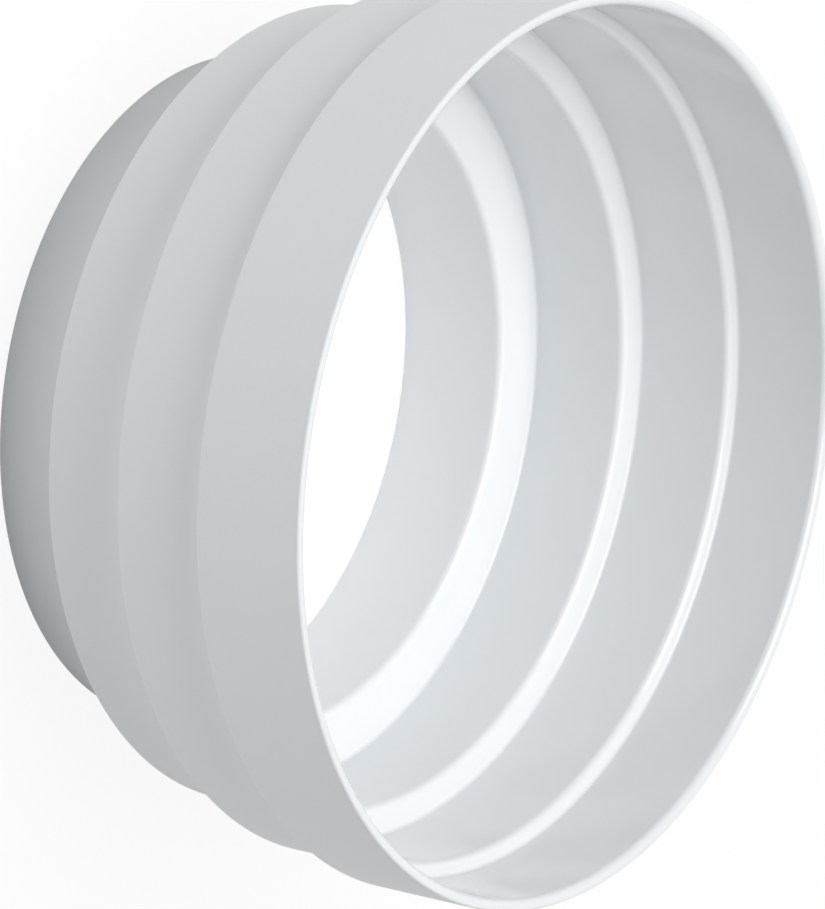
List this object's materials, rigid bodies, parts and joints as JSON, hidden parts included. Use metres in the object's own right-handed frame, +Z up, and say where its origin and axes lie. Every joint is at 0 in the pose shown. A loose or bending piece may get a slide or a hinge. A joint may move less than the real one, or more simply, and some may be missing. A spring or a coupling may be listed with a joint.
{
  "type": "stepped duct reducer",
  "caption": "Round plastic duct reducer: a short open shell whose bands step down in diameter from a wide mouth to a small spigot, to join round ducts of unlike size.",
  "frame": {"origin": "centre of the small end's face, where the reducer stands", "axes": "+Z up along the axis of all bands, from the small end towards the wide mouth; X and Y are any two square directions across it"},
  "size_m": [0.1016, 0.1016, 0.0508],
  "materials": {
    "shell_plastic": "satin white moulded plastic, faintly cool, with a soft sheen and light handling scuffs"
  },
  "bodies": {
    "root": {"reducer_shell": "shell_plastic"}
  },
  "joints": []
}
